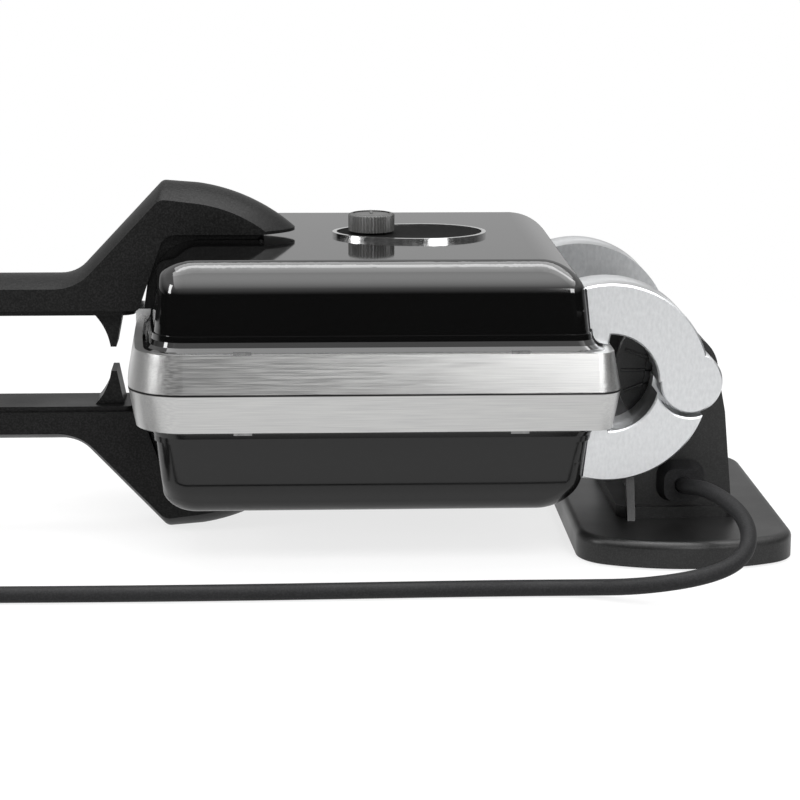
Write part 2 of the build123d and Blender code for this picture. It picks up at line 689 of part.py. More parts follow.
def foot_plate():
    """Foot moulding: a hollow tray, bottom side open, with four screw bosses."""
    body = slab(foot_plan(0), PAD_HEIGHT, FOOT_TOP)
    top = body.edges().group_by(Axis.Z)[-1]
    body = fillet(top, FOOT_EDGE_R)
    body -= slab(foot_plan(FOOT_WALL), PAD_HEIGHT, FOOT_TOP - FOOT_WALL)
    for x in (-FOOT_BOSS_X, FOOT_BOSS_X):
        for y in (-FOOT_BOSS_Y, FOOT_BOSS_Y):
            body += post(FOOT_BOSS_R, x, y, PAD_HEIGHT + CLOSING_PLATE, FOOT_TOP - 1)
            body -= post(SCREW_R + PIN_FIT, x, y, PAD_HEIGHT, FOOT_TOP - FOOT_WALL)
    for x in (-PEDESTAL_SCREW_X, PEDESTAL_SCREW_X):
        for y in (-PEDESTAL_SCREW_Y, PEDESTAL_SCREW_Y):
            body -= post(SCREW_R + PIN_FIT, x, y, PAD_HEIGHT, FOOT_TOP + 1)
    return body


def foot_closing_plate():
    """Flat plate that closes the foot from below."""
    plate = slab(foot_plan(FOOT_WALL + SLIDE), PAD_HEIGHT, PAD_HEIGHT + CLOSING_PLATE)
    for x in (-FOOT_BOSS_X, FOOT_BOSS_X):
        for y in (-FOOT_BOSS_Y, FOOT_BOSS_Y):
            plate -= post(SCREW_R + PIN_FIT, x, y, 0, PAD_HEIGHT + CLOSING_PLATE + 1)
            plate -= post(SCREW_HEAD_R + PIN_FIT, x, y, 0, PAD_HEIGHT + CLOSING_PLATE / 2)
    return plate


def foot_screws():
    """Four countersunk screws through the closing plate."""
    screws = []
    sunk = PAD_HEIGHT + CLOSING_PLATE / 2
    for x in (-FOOT_BOSS_X, FOOT_BOSS_X):
        for y in (-FOOT_BOSS_Y, FOOT_BOSS_Y):
            head = post(SCREW_HEAD_R, x, y, PAD_HEIGHT, sunk)
            screws.append(head + post(SCREW_R, x, y, sunk, FOOT_TOP - FOOT_WALL - 1))
    return Compound(children=[screw.solid() for screw in screws])


def foot_pads():
    """Rubber pads under the closing plate: one in the middle and one near each corner."""
    pads = [post(PAD_R, 0, 0, 0, PAD_HEIGHT)]
    for x in (-PAD_X, PAD_X):
        for y in (-PAD_Y, PAD_Y):
            pads.append(post(PAD_R, x, y, 0, PAD_HEIGHT))
    return Compound(children=[pad.solid() for pad in pads])


def pedestal():
    """Hollow pedestal with its hinge barrel, plinth collar and two gusset fins."""
    front = Polyline(
        (-HEAD_R, PIN_Z),
        (PEDESTAL_BULGE_X, PEDESTAL_BULGE_Z),
        (PEDESTAL_FRONT_X, FOOT_TOP),
        (PEDESTAL_REAR_X, FOOT_TOP),
        (PEDESTAL_REAR_TOP_X, PEDESTAL_REAR_TOP_Z),
        (HEAD_R, PIN_Z),
        close=True,
    )
    column = make_face(front)
    bulge = column.vertices().sort_by_distance((PEDESTAL_BULGE_X, PEDESTAL_BULGE_Z, 0))[0]
    column = fillet(bulge, PEDESTAL_BULGE_R)
    roof = PIN_Z - PEDESTAL_ROOF
    below = Pos(0, roof / 2) * Rectangle(4 * HEAD_R, roof)
    hollow = offset(column, -PEDESTAL_WALL) & below
    barrel = prism(Pos(0, PIN_Z) * Circle(HEAD_R), -PEDESTAL_HALF_WIDTH, PEDESTAL_HALF_WIDTH)
    body = prism(column, -PEDESTAL_HALF_WIDTH, PEDESTAL_HALF_WIDTH) + barrel
    middle = (PLINTH_FRONT_X + PLINTH_REAR_X) / 2
    collar = RectangleRounded(
        PLINTH_REAR_X - PLINTH_FRONT_X,
        2 * (PEDESTAL_HALF_WIDTH + PLINTH_MARGIN),
        PLINTH_CORNER_R,
    )
    body += slab(Pos(middle, 0) * collar, FOOT_TOP, PLINTH_TOP)
    for side in (-1, 1):
        body += fin(side)
    inside = PEDESTAL_HALF_WIDTH - PEDESTAL_WALL
    body -= prism(hollow, -inside, inside)
    for x in (-PEDESTAL_SCREW_X, PEDESTAL_SCREW_X):
        for y in (-PEDESTAL_SCREW_Y, PEDESTAL_SCREW_Y):
            body += post(PEDESTAL_SCREW_BOSS_R, x, y, FOOT_TOP, PEDESTAL_SCREW_BOSS_TOP)
            body -= post(SCREW_R + PIN_FIT, x, y, FOOT_TOP - 1, PEDESTAL_SCREW_BOSS_TOP - 2)
    body -= Pos(0, 0, PIN_Z) * cross_bar(PIN_R + PIN_FIT, -PEDESTAL_HALF_WIDTH, PEDESTAL_HALF_WIDTH)
    return body - relief_block(SLIDE)


def fin(side):
    """Gusset at the pedestal's front corner, sloping out on to the foot."""
    root = side * (PEDESTAL_HALF_WIDTH - 1)
    face = side * PEDESTAL_HALF_WIDTH
    edge = side * (PEDESTAL_HALF_WIDTH + FIN_REACH)
    slope = make_face(Polyline(
        (root, FOOT_TOP), (edge, FOOT_TOP), (face, FIN_TOP), (root, FIN_TOP), close=True))
    plate = extrude(Plane.YZ * slope, amount=FIN_THICKNESS)
    return Pos(FIN_X, 0, 0) * plate


def pedestal_screws():
    """Four screws from inside the foot up into the pedestal's bosses."""
    screws = []
    under = FOOT_TOP - FOOT_WALL
    for x in (-PEDESTAL_SCREW_X, PEDESTAL_SCREW_X):
        for y in (-PEDESTAL_SCREW_Y, PEDESTAL_SCREW_Y):
            head = post(SCREW_HEAD_R, x, y, under - SCREW_HEAD_HEIGHT, under)
            screws.append(head + post(SCREW_R, x, y, under, PEDESTAL_SCREW_BOSS_TOP - 3))
    return Compound(children=[screw.solid() for screw in screws])


def relief_plan(draw):
    """Rounded section of the strain relief, drawn in by a margin."""
    return RectangleRounded(
        RELIEF_LENGTH - draw, RELIEF_HEIGHT - draw, RELIEF_CORNER_R - draw / 2)


def relief_block(margin):
    """Body of the strain relief: a neck through the wall and a drawn-in collar outside."""
    wall = -PEDESTAL_HALF_WIDTH
    place = Plane(origin=(RELIEF_X, wall, RELIEF_Z), x_dir=(1, 0, 0), z_dir=(0, -1, 0))
    collar = loft([place * relief_plan(0), place.offset(RELIEF_PROUD) * relief_plan(RELIEF_DRAW)])
    neck = extrude(place * relief_plan(RELIEF_NECK - 2 * margin), amount=-RELIEF_INSIDE)
    return collar + neck


def strain_relief():
    """Strain relief with the bore that the lead leaves from."""
    outer_face = -PEDESTAL_HALF_WIDTH - RELIEF_PROUD
    length = RELIEF_BORE_DEPTH
    bore = Pos(RELIEF_X, outer_face + length / 2, RELIEF_Z) * Rot(90, 0, 0) * Cylinder(CORD_R + SLIDE, length)
    return relief_block(0) - bore


def hinge_pin():
    """Steel pin through barrel, lugs and knuckles, hidden by the knuckles' closed ends."""
    return Pos(0, 0, PIN_Z) * cross_bar(PIN_R, -PIN_REACH, PIN_REACH)


def hinge_washers():
    """Two spacer washers between the barrel and the arms."""
    washers = []
    for side in (-1, 1):
        faces = (side * PEDESTAL_HALF_WIDTH, side * (PEDESTAL_HALF_WIDTH + WASHER_THICKNESS))
        inner, outer = min(faces), max(faces)
        ring = cross_bar(WASHER_R, inner, outer) - cross_bar(PIN_R + PIN_FIT, inner, outer)
        washers.append(Pos(0, 0, PIN_Z) * ring)
    return Compound(children=[washer.solid() for washer in washers])


def cord_points():
    """Points of the free stretch, from the strain relief to the coil."""
    start = Vector(RELIEF_X, -PEDESTAL_HALF_WIDTH, 0)
    loop = [start + Vector(*point) for point in CORD_LOOP]
    return loop + [start + Vector(x, y, CORD_Z) for x, y in CORD_FLOOR]


def bend_radii(points):
    """Largest tangent arcs that the runs of a route allow, one for each corner."""
    radii = []
    for before, here, after in zip(points, points[1:], points[2:]):
        turn = math.radians((here - before).get_angle(after - here))
        shorter = min((here - before).length, (after - here).length)
        radii.append(0.45 * shorter / math.tan(turn / 2))
    return radii


def cord():
    """Free stretch of the lead: straight runs joined by tangent arcs."""
    points = cord_points()
    radii = bend_radii(points)
    print("cord radii:", [round(radius, 1) for radius in radii])
    path = FilletPolyline(*points, radius=radii)
    start = Plane(origin=path @ 0, z_dir=path % 0)
    tube = sweep(start * Circle(CORD_R), path=path)
    expected = math.pi * CORD_R ** 2 * path.length
    print("cord length", round(path.length, 1), "volume over section times length",
          round(tube.volume / expected, 5))
    return tube


def coil_place(turns):
    """Point of the coil's centre line: it spirals in, climbs a layer and spirals out again."""
    inward = min(turns, COIL_TURNS - turns)
    radius = COIL_R - COIL_PITCH * inward
    climb = min(max((turns - COIL_TURNS / 2 + 0.25) / 0.5, 0), 1)
    height = CORD_Z + COIL_LAYER * climb * climb * (3 - 2 * climb)
    angle = math.radians(-90) - 2 * math.pi * turns
    return Vector(COIL_X + radius * math.cos(angle), COIL_Y + radius * math.sin(angle), height)


def coil_heading(turns):
    """Direction of the coil's centre line, square to its ends."""
    if turns in (0, COIL_TURNS):
        return Vector(-1, 0, 0)
    step = 0.02
    return (coil_place(turns + step) - coil_place(turns - step)).normalized()


def biarc(start, start_heading, end, end_heading):
    """Two arcs that join two places with their headings."""
    span = end - start
    both = start_heading + end_heading
    spare = 2 * (1 - start_heading.dot(end_heading))
    along = span.dot(both)
    reach = (math.sqrt(along ** 2 + spare * span.dot(span)) - along) / spare
    first = start + start_heading * reach
    second = end - end_heading * reach
    middle = (first + second) * 0.5
    return [
        Edge.make_tangent_arc(start, start_heading, middle),
        Edge.make_tangent_arc(middle, second - first, end),
    ]


def least_gap(edges):
    """Least gap of a tube to itself, measured between points over half a turn apart."""
    points = []
    along = 0
    for edge in edges:
        for step in range(6):
            points.append((along + edge.length * step / 6, edge @ (step / 6)))
        along += edge.length
    apart = math.pi * (COIL_R - COIL_PITCH * COIL_TURNS / 2)
    least = COIL_R
    for first, (first_along, first_point) in enumerate(points):
        for second_along, second_point in points[first + 1:]:
            if second_along - first_along > apart:
                least = min(least, (second_point - first_point).length)
    return least - 2 * CORD_R


def cord_coil():
    """Put-away rest of the lead: one tube wound in two layers, with a straight end each side."""
    steps = COIL_TURNS * COIL_STEPS_PER_TURN
    stations = [COIL_TURNS * step / steps for step in range(steps + 1)]
    lead = Vector(COIL_LEAD, 0, 0)
    first = coil_place(0)
    last = coil_place(COIL_TURNS)
    edges = [Edge.make_line(first + lead, first)]
    for before, after in zip(stations, stations[1:]):
        edges += biarc(coil_place(before), coil_heading(before), coil_place(after), coil_heading(after))
    edges.append(Edge.make_line(last, last - Vector(COIL_TAIL, 0, 0)))
    print("coil least gap", round(least_gap(edges), 2), "length", round(sum(edge.length for edge in edges), 1))
    path = Wire(edges)
    section = Plane(origin=first + lead, z_dir=(-1, 0, 0)) * Circle(CORD_R)
    tube = sweep(section, path=path)
    print("coil volume over section times length", round(tube.volume / (math.pi * CORD_R ** 2 * path.length), 5))
    return tube


def coil_tie():
    """Flat tie round the coil's turns, on the side away from the cooker."""
    inner = COIL_R - COIL_PITCH * COIL_TURNS / 2 - CORD_R - SLIDE
    outer = COIL_R + CORD_R + SLIDE
    height = 2 * CORD_R + COIL_LAYER
    box_y = outer - inner
    middle = COIL_Y + (outer + inner) / 2
    hole = Box(TIE_WIDTH + 1, box_y, height + SLIDE)
    wall = Box(TIE_WIDTH, box_y + 2 * TIE_THICKNESS, height + SLIDE + TIE_THICKNESS)
    tie = Pos(0, 0, TIE_THICKNESS / 2) * wall - hole
    base = CORD_LIFT + (height + SLIDE) / 2
    return Pos(COIL_X, middle, base) * tie


def plug_face():
    """Place where the coil's end meets the plug, on the lead's centre line."""
    return coil_place(COIL_TURNS) - Vector(COIL_TAIL, 0, 0)


def plug():
    """Moulded plug with a ribbed, tapered neck."""
    face = plug_face()
    start = Plane(origin=face, x_dir=(0, 1, 0), z_dir=(-1, 0, 0))
    tail = start.offset(PLUG_NECK_LENGTH)
    neck = loft([start * Circle(CORD_R + 1), tail * Circle(PLUG_NECK_R + 2)])
    for rib in range(PLUG_RIBS):
        offset_along = PLUG_NECK_LENGTH * (rib + 1) / (PLUG_RIBS + 1)
        ring = start.offset(offset_along - PLUG_RIB_GAP / 2)
        groove = extrude(ring * (Circle(2 * PLUG_NECK_R) - Circle(CORD_R + 0.5)), amount=PLUG_RIB_GAP)
        neck -= groove
    half_height = min(PLUG_BODY_WIDTH / 2, face.Z)
    front = tail.offset(PLUG_BODY_LENGTH)
    body = loft([
        tail * RectangleRounded(PLUG_BODY_WIDTH - 6, 2 * half_height - 5, PLUG_BODY_R - 1),
        front * RectangleRounded(PLUG_BODY_WIDTH, 2 * half_height, PLUG_BODY_R),
    ])
    return neck + body


def plug_blades():
    """Two flat contact blades of the plug."""
    face = plug_face()
    start = face.X - PLUG_NECK_LENGTH - PLUG_BODY_LENGTH
    blades = []
    for side in (-1, 1):
        y = face.Y + side * PIN_BLADE_SPACING / 2
        blade = Box(PIN_BLADE_LENGTH, PIN_BLADE_THICKNESS, PIN_BLADE_WIDTH)
        blades.append(Pos(start - PIN_BLADE_LENGTH / 2, y, face.Z) * blade)
    return Compound(children=[blade.solid() for blade in blades])


def far(shape):
    """The mirror image of a near piece on the far side."""
    return mirror(shape, Plane.XZ)


def save(name, shape):
    """Writes one piece to its own file."""
    export_step(shape, os.path.join("parts", name + ".step"))


def lid_shell(body):
    """The lid's shell, with the hole of the knob's shaft."""
    return body - post(SHAFT_R + PIN_FIT, KNOB_X, 0, FLARE_TOP, SHELL_TOP + 1)


def half_pieces():
    """Pieces that both halves have, drawn for the upper one."""
    return {
        "frame": frame_ring(),
        "waffle_plate": waffle_plate(),
        "element": element(),
        "reflector": reflector(),
        "handle": handle(),
        "handle_cover": handle_cover(),
        "handle_bracket": handle_bracket(),
        "handle_screws": handle_screws(),
        "flange_clips": flange_clips(),
    }


def main():
    os.makedirs("parts", exist_ok=True)
    for name, shape in half_pieces().items():
        save("upper_" + name, upper(shape))
        save("lower_" + name, lower(shape))
    plain_shell = shell()
    save("upper_shell", upper(lid_shell(plain_shell)))
    save("lower_shell", lower(plain_shell))
    lid_arm = upper_arm()
    beaked_arm = lower_arm()
    save("upper_arm_near", upper(lid_arm))
    save("upper_arm_far", upper(far(lid_arm)))
    save("lower_arm_near", lower(beaked_arm))
    save("lower_arm_far", lower(far(beaked_arm)))
    save("label_plate", upper(label_plate()))
    save("label_rim", upper(label_rim()))
    save("thermostat", upper(thermostat()))
    save("knob", upper(knob()))
    save("knob_shaft", upper(knob_shaft()))
    save("foot_plate", foot_plate())
    save("foot_closing_plate", foot_closing_plate())
    save("foot_screws", foot_screws())
    save("foot_pads", foot_pads())
    save("pedestal", pedestal())
    save("pedestal_screws", pedestal_screws())
    save("strain_relief", strain_relief())
    save("hinge_pin", hinge_pin())
    save("hinge_washers", hinge_washers())
    save("cord", cord())
    save("cord_coil", cord_coil())
    save("coil_tie", coil_tie())
    save("plug", plug())
    save("plug_blades", plug_blades())


main()
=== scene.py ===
import math

import bmesh
import bpy
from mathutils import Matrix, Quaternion, Vector


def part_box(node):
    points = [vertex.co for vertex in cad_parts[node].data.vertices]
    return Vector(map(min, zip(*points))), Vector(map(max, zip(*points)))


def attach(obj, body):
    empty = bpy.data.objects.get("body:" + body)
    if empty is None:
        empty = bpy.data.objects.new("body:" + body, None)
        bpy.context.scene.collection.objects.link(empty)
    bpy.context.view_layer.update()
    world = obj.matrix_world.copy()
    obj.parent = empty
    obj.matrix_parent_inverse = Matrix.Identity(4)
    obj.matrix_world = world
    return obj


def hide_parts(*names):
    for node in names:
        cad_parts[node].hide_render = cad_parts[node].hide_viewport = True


# A waffle sandwich maker on a white worktop.  The frame's axes: +X rear, +Z up, -Y near.
# Sizes and places of the cooker are in millimetres.  Those of the lamps and the worktop, the camera's
# clipping and the lead's whole length are in metres.

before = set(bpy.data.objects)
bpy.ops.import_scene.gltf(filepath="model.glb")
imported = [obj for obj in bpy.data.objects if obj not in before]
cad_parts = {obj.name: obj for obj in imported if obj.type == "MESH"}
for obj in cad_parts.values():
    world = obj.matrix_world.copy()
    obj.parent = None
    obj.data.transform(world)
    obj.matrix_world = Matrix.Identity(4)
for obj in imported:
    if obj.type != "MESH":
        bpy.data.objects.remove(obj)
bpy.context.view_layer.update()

MM = 0.001

# Camera, fitted to the photograph: place, degrees right and down, and turn about its own line
CAMERA_PLACE = (-204.01, -1226.71, 342.05)
CAMERA_HEADING = 2.92
CAMERA_DROP = 12.64
CAMERA_ROLL = 0.23
CAMERA_LENS = 106.98
CAMERA_SENSOR = 36
CAMERA_NEAR = 0.05
CAMERA_FAR = 20

# Sizes repeated from the part
PIN_Z = 92.0
SHELL_TOP = 63.0
KNOB_R = 12.0
KNOB_HEIGHT = 8.9
PEDESTAL_HALF_WIDTH = 48.0
RELIEF_X = 0.8
CORD_R = 4.0
CORD_LIFT = 0.2
CORD_Z = CORD_R + CORD_LIFT

# Lead: the part's own chain of points, first in a loop and then on the worktop.
# They are counted from the strain relief along X and from the pedestal's near face along Y.
CORD_LOOP = [
    (0.0, -4.0, 34.0),
    (0.0, -12.0, 34.0),
    (0.9, -24.0, 36.7),
    (6.5, -38.3, 39.3),
    (14.2, -51.7, 37.1),
    (20.2, -63.9, 32.7),
    (21.8, -76.1, 26.9),
    (18.3, -88.0, 21.3),
    (10.2, -98.2, 17.5),
    (-2.1, -105.0, 14.8),
    (-19.0, -107.0, 12.0),
    (-38.8, -101.4, 8.2),
]
CORD_FLOOR = [
    (-58.8, -88.6),
    (-105.8, -88.2),
    (-165.8, -89.4),
    (-230.8, -90.6),
    (-295.8, -90.4),
    (-350.8, -89.4),
    (-402.8, -89.4),
]
LEAD_SPLINE_ORDER = 3
LEAD_STEPS = 10
LEAD_SIDE_STEPS = 8

# Put-away coil of the lead
COIL_LEAD = 8.0
COIL_X = RELIEF_X + CORD_FLOOR[-1][0] - COIL_LEAD
COIL_R = 49.0
COIL_TURNS = 3
COIL_PITCH = 8.7
COIL_LAYER = 8.7
COIL_CLIMB_TURNS = 0.5
COIL_TAIL = 32.0
COIL_POINTS_PER_TURN = 16

# Knob with fine flutes
KNOB_FLUTES = 46
KNOB_FLUTE_DEPTH = 0.955
KNOB_EDGE_R = 0.9
KNOB_EDGE_STEPS = 3
KNOB_RIM = 1.4
KNOB_DISH = 0.25
POINTER_MIDDLE = 5.04
POINTER_WIDTH = 1.6
POINTER_LENGTH = 9.6
POINTER_HEIGHT = 0.9
POINTER_SINK = 0.1

# Heat guards: outline of the web along X and out from the parting plane, round from the heel's foot
GUARD_HALF_WIDTH = 14.0
GUARD_EDGE_R = 0.5
GUARD_OUTLINE = [
    (-274.0, 27.5),
    (-272.2, 40.0),
    (-269.4, 52.0),
    (-265.5, 60.0),
    (-262.0, 66.3),
    (-213.0, 66.3),
    (-216.0, 63.4),
    (-246.5, 63.2),
    (-252.5, 62.0),
    (-260.5, 58.0),
    (-267.0, 50.0),
    (-268.0, 40.0),
    (-269.6, 27.5),
]

# Dark fans standing in for shade: dished discs on the pin, cut back to fans that the arms cover, put
# where the insides of the hooked arms lie in shade
SHADE_FAN_R = 34.0
SHADE_FAN_FACE = 48.3
SHADE_FAN_THICKNESS = 4.0
SHADE_FAN_RIM = 2.5
SHADE_FAN_DISH = 1.5
SHADE_FAN_STEPS = 96
SHADE_FAN_START = 9.0
SHADE_FAN_UP = 19.0
SHADE_FAN_DOWN = 27.0
SHADE_FAN_RIB_ANGLES = (160, 180, 200, 220)
SHADE_FAN_RIB_WIDTH = 1.4
SHADE_FAN_RIB_MIDDLE_SHARE = 0.7
SHADE_FAN_RIB_LENGTH_SHARE = 0.6
SHADE_FAN_RIB_RISE_SHARE = 0.7

# Small moulded edges, the angle up to which an edge is shaded smooth, and how straight a face has to
# look along an axis to be picked, where 1 is dead straight
FINE_EDGE_R = 0.3
FINE_EDGE_STEPS = 2
SMOOTH_ANGLE = 35
FACING = 0.9
FACING_STRAIGHTER = 0.95

# Shadow line between the frames: half its width, and where it has faded out
SEAM_HALF = 0.3
SEAM_FADE = 0.75
SEAM_COLOUR = (0.03, 0.03, 0.03)

# Roll of the shells' long edges in the enamel's relief: where it starts below the top and would
# end above it, and how far it falls
SHOULDER_START = 17.0
SHOULDER_END = 2.0
SHOULDER_DEPTH = 5.0

# Noise of the finishes, in waves per metre, and the part of its range that is used
NOISE_RANGE = (0.3, 0.7)
STROKE_DETAIL = 6.0
STROKE_RANGE = (0.28, 0.72)
STROKE_RELIEF = 0.35
CLOUD_SCALE = 30.0
CLOUD_DETAIL = 3.0
CLOUD_SHARE = 0.35
CLOUDED_RANGE = (0.4, 0.9)
BRUSHED_ANISOTROPY = 0.5
FLOW_SCALE = 14.0
FLOW_DETAIL = 2.0
FLOW_RELIEF = 0.05
FLOW_ROUGHER = 1.5
SPECK_SCALE = 900.0
SPECK_DETAIL = 2.0
SPECK_LIGHTER = 1.35
GRAIN_DETAIL = 3.0
GRAIN_RANGE = (0.42, 0.68)
GRAIN_LIGHTER = 1.6
GRAIN_RELIEF = 0.6
PATCH_SCALE = 25.0
PATCH_DETAIL = 3.0

# Brushing: waves per metre along X, Y and Z, fewest along the strokes
FRAME_BRUSHING = (40, 1500, 2000)
ARM_BRUSHING = (700, 900, 350)
STEEL_BRUSHING = (300, 300, 300)
BRIGHT_BRUSHING = (400, 400, 400)

# Worktop: its own colour and glow, where its shadow fades into pure white for the camera, and
# where it fades into a dark room for reflections
FLOOR_SIZE = 30
FLOOR_COLOUR = 0.25
FLOOR_GLOW = 0.76
FLOOR_ROUGHNESS = 0.9
FLOOR_DIMMING = 0.15
SHADOW_MIDDLE = (-0.15, -0.02, 0)
SHADOW_REACH = (0.34, 0.75)
ROOM_MIDDLE = (-0.15, 0.1, 0)
ROOM_REACH = (1.6, 2.4)
ROOM_GLOW = 0.01

# World: its strength in front, behind and above, and where it rises along Y and Z
WORLD_FRONT = 0.012
WORLD_BACK = 0.6
WORLD_TOP = 0.8
WORLD_BACK_RISE = (0.0, 0.9)
WORLD_TOP_RISE = (0.1, 0.5)

# Pieces by finish, for the upper and lower half alike where the name starts with neither
PIECES_OF_FINISH = {
    "frame": ("frame",),
    "shell": ("shell",),
    "lower_shell": ("lower_shell",),
    "coating": ("waffle_plate",),
    "arm": ("arm_near", "arm_far"),
    "handle": ("handle", "handle_cover"),
    "clip": ("flange_clips",),
    "label": ("label_plate",),
    "knob": ("knob",),
    "stand": ("foot_plate", "pedestal"),
    "bright": ("reflector", "label_rim", "plug_blades"),
    "pale": ("thermostat", "hinge_washers"),
    "rubber": ("foot_pads", "strain_relief", "coil_tie", "plug"),
    "steel": ("element", "handle_bracket", "handle_screws", "knob_shaft", "foot_closing_plate",
              "foot_screws", "pedestal_screws", "hinge_pin"),
}


def add_camera():
    """Camera on its measured place, heading a little to the right and down."""
    heading = math.radians(CAMERA_HEADING)
    drop = math.radians(CAMERA_DROP)
    forward = Vector((
        math.sin(heading) * math.cos(drop),
        math.cos(heading) * math.cos(drop),
        -math.sin(drop),
    ))
    turn = forward.to_track_quat("-Z", "Y")
    turn = turn @ Quaternion((0, 0, 1), math.radians(CAMERA_ROLL))
    bpy.ops.object.camera_add(location=Vector(CAMERA_PLACE) * MM, rotation=turn.to_euler())
    camera = bpy.context.object
    camera.data.lens = CAMERA_LENS
    camera.data.sensor_width = CAMERA_SENSOR
    camera.data.clip_start = CAMERA_NEAR
    camera.data.clip_end = CAMERA_FAR
    bpy.context.scene.camera = camera


def cord_points():
    """Points of the lead's free stretch, from the strain relief to the coil."""
    shape = CORD_LOOP + [(x, y, CORD_Z) for x, y in CORD_FLOOR]
    return [(RELIEF_X + x, -PEDESTAL_HALF_WIDTH + y, height) for x, y, height in shape]


def coil_points(start_y):
    """Points of the put-away coil: inwards, up a layer and outwards again, and its straight tail."""
    # A quadratic spline runs inside its control points by this share
    spread = (6 + 2 * math.cos(2 * math.pi / COIL_POINTS_PER_TURN)) / 8
    centre_y = start_y + COIL_R
    steps = COIL_TURNS * COIL_POINTS_PER_TURN
    points = []
    for step in range(1, steps):
        turns = COIL_TURNS * step / steps
        inward = min(turns, COIL_TURNS - turns)
        radius = (COIL_R - COIL_PITCH * inward) / spread
        # From 0 to 1 about the coil's middle, eased at both ends
        climb = (turns - COIL_TURNS / 2) / COIL_CLIMB_TURNS + 0.5
        climb = min(max(climb, 0), 1)
        height = CORD_Z + COIL_LAYER * climb * climb * (3 - 2 * climb)
        angle = math.radians(-90) - 2 * math.pi * turns
        x = COIL_X + radius * math.cos(angle)
        y = centre_y + radius * math.sin(angle)
        points.append((x, y, height))
    points.append((COIL_X, start_y, CORD_Z + COIL_LAYER))
    points.append((COIL_X - COIL_TAIL, start_y, CORD_Z + COIL_LAYER))
    return points


def add_lead():
    """The whole lead as one smooth spline, from the strain relief to the plug."""
    free = cord_points()
    points = free + coil_points(free[-1][1])
    curve = bpy.data.curves.new("lead", "CURVE")
    curve.dimensions = "3D"
    spline = curve.splines.new("NURBS")
    spline.points.add(len(points) - 1)
    for place, point in zip(spline.points, points):
        place.co = (*(Vector(point) * MM), 1)
        place.radius = CORD_R * MM
    spline.order_u = LEAD_SPLINE_ORDER
    spline.use_endpoint_u = True
    spline.resolution_u = LEAD_STEPS
    # The bevel is one metre times each point's radius, so the lead's own box fits it closely
    curve.bevel_depth = 1
    curve.bevel_resolution = LEAD_SIDE_STEPS
    curve.use_fill_caps = True
    lead = bpy.data.objects.new("lead", curve)
    bpy.context.scene.collection.objects.link(lead)
    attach(lead, "stand")
    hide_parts("cord", "cord_coil")
    return lead


def grey(level):
    """An even grey."""
    return (level, level, level)


def new_material(name):
    """Empty node material with its principled shader and object coordinates."""
    material = bpy.data.materials.new(name)
    material.use_nodes = True
    nodes = material.node_tree.nodes
    shader = nodes["Principled BSDF"]
    place = nodes.new("ShaderNodeTexCoord")
    return material, nodes, material.node_tree.links, shader, place.outputs["Object"]


def add_noise(nodes, links, place, scale, detail, waves=(1, 1, 1)):
    """Noise on object coordinates, drawn out along the axis that has the fewest waves."""
    mapping = nodes.new("ShaderNodeMapping")
    mapping.inputs["Scale"].default_value = waves
    links.new(place, mapping.inputs["Vector"])
    noise = nodes.new("ShaderNodeTexNoise")
    noise.inputs["Scale"].default_value = scale
    noise.inputs["Detail"].default_value = detail
    links.new(mapping.outputs["Vector"], noise.inputs["Vector"])
    return noise.outputs["Fac"]


def to_range(nodes, links, value, low, high, source=NOISE_RANGE, course="LINEAR"):
    """A value carried from its source range into another."""
    ranged = nodes.new("ShaderNodeMapRange")
    ranged.interpolation_type = course
    ranged.inputs["From Min"].default_value = source[0]
    ranged.inputs["From Max"].default_value = source[1]
    ranged.inputs["To Min"].default_value = low
    ranged.inputs["To Max"].default_value = high
    links.new(value, ranged.inputs["Value"])
    return ranged.outputs["Result"]


def to_colours(nodes, links, value, dark, light):
    """Colour that a value carries from a dark tone to a light one."""
    tones = nodes.new("ShaderNodeMix")
    tones.data_type = "RGBA"
    tones.inputs["A"].default_value = (*dark, 1)
    tones.inputs["B"].default_value = (*light, 1)
    links.new(value, tones.inputs["Factor"])
    return tones.outputs["Result"]


def add_relief(nodes, links, shader, value, strength, depth):
    """Surface relief from a value, with its depth in millimetres."""
    bump = nodes.new("ShaderNodeBump")
    bump.inputs["Strength"].default_value = strength
    bump.inputs["Distance"].default_value = depth * MM
    links.new(value, bump.inputs["Height"])
    links.new(bump.outputs["Normal"], shader.inputs["Normal"])
    return bump


def reach_from_parting(nodes, links, place):
    """Distance above or below the plane where the two halves meet."""
    split = nodes.new("ShaderNodeSeparateXYZ")
    links.new(place, split.inputs[0])
    height = nodes.new("ShaderNodeMath")
    height.operation = "SUBTRACT"
    height.inputs[1].default_value = PIN_Z * MM
    links.new(split.outputs["Z"], height.inputs[0])
    reach = nodes.new("ShaderNodeMath")
    reach.operation = "ABSOLUTE"
    links.new(height.outputs[0], reach.inputs[0])
    return reach.outputs[0]


def shade_seam(nodes, links, place, tone):
    """Metal tone with the thin shadow line where the two frames meet."""
    reach = reach_from_parting(nodes, links, place)
    clear = to_range(nodes, links, reach, 0, 1, (SEAM_HALF * MM, SEAM_FADE * MM))
    shaded = nodes.new("ShaderNodeMix")
    shaded.data_type = "RGBA"
    shaded.inputs["A"].default_value = (*SEAM_COLOUR, 1)
    links.new(tone, shaded.inputs["B"])
    links.new(clear, shaded.inputs["Factor"])
    return shaded.outputs["Result"]


